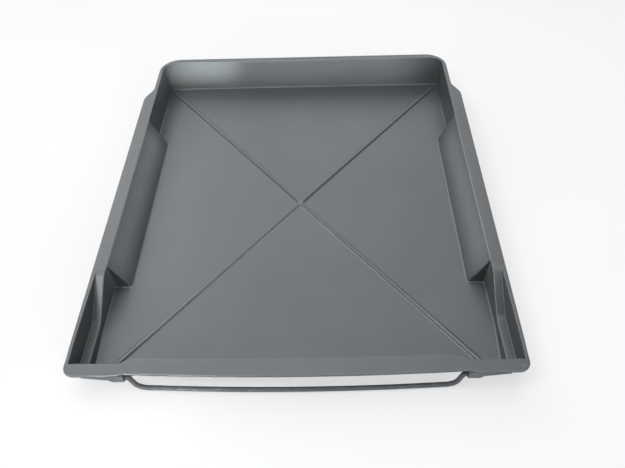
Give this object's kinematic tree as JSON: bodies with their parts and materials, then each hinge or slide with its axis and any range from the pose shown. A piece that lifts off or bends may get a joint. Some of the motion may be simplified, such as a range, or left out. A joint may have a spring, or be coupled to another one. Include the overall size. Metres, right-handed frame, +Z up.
{
  "type": "paint roller tray",
  "caption": "Wide shallow moulded tray with a ribbed X floor, a deeper back wall, wedge side panels, a flat rim and a swinging rod handle under the front rim.",
  "frame": {"origin": "on the ground under the middle of the tray's outline", "axes": "+Z up, +Y from the handle towards the deep back wall, +X to the right seen from the handle"},
  "size_m": [0.544, 0.6644, 0.055],
  "materials": {
    "tray_plastic": "satin moulded grey with a fine texture",
    "bracket_plastic": "satin moulded dark grey",
    "rod_steel": "dark grey powder coat",
    "screw_steel": "zinc plated"
  },
  "bodies": {
    "tray": {"tray_body": "tray_plastic", "handle_bracket_left": "bracket_plastic", "handle_bracket_right": "bracket_plastic", "bracket_screw_left_inner": "screw_steel", "bracket_screw_left_outer": "screw_steel", "bracket_screw_right_inner": "screw_steel", "bracket_screw_right_outer": "screw_steel"},
    "handle": {"handle_bail": "rod_steel"}
  },
  "joints": [
    {"name": "handle_swing", "type": "hinge", "parent": "tray", "child": "handle", "pos_m": [0, -0.3222, 0.0305], "axis": [-1, 0, 0], "range_deg": [-40, 110]}
  ]
}
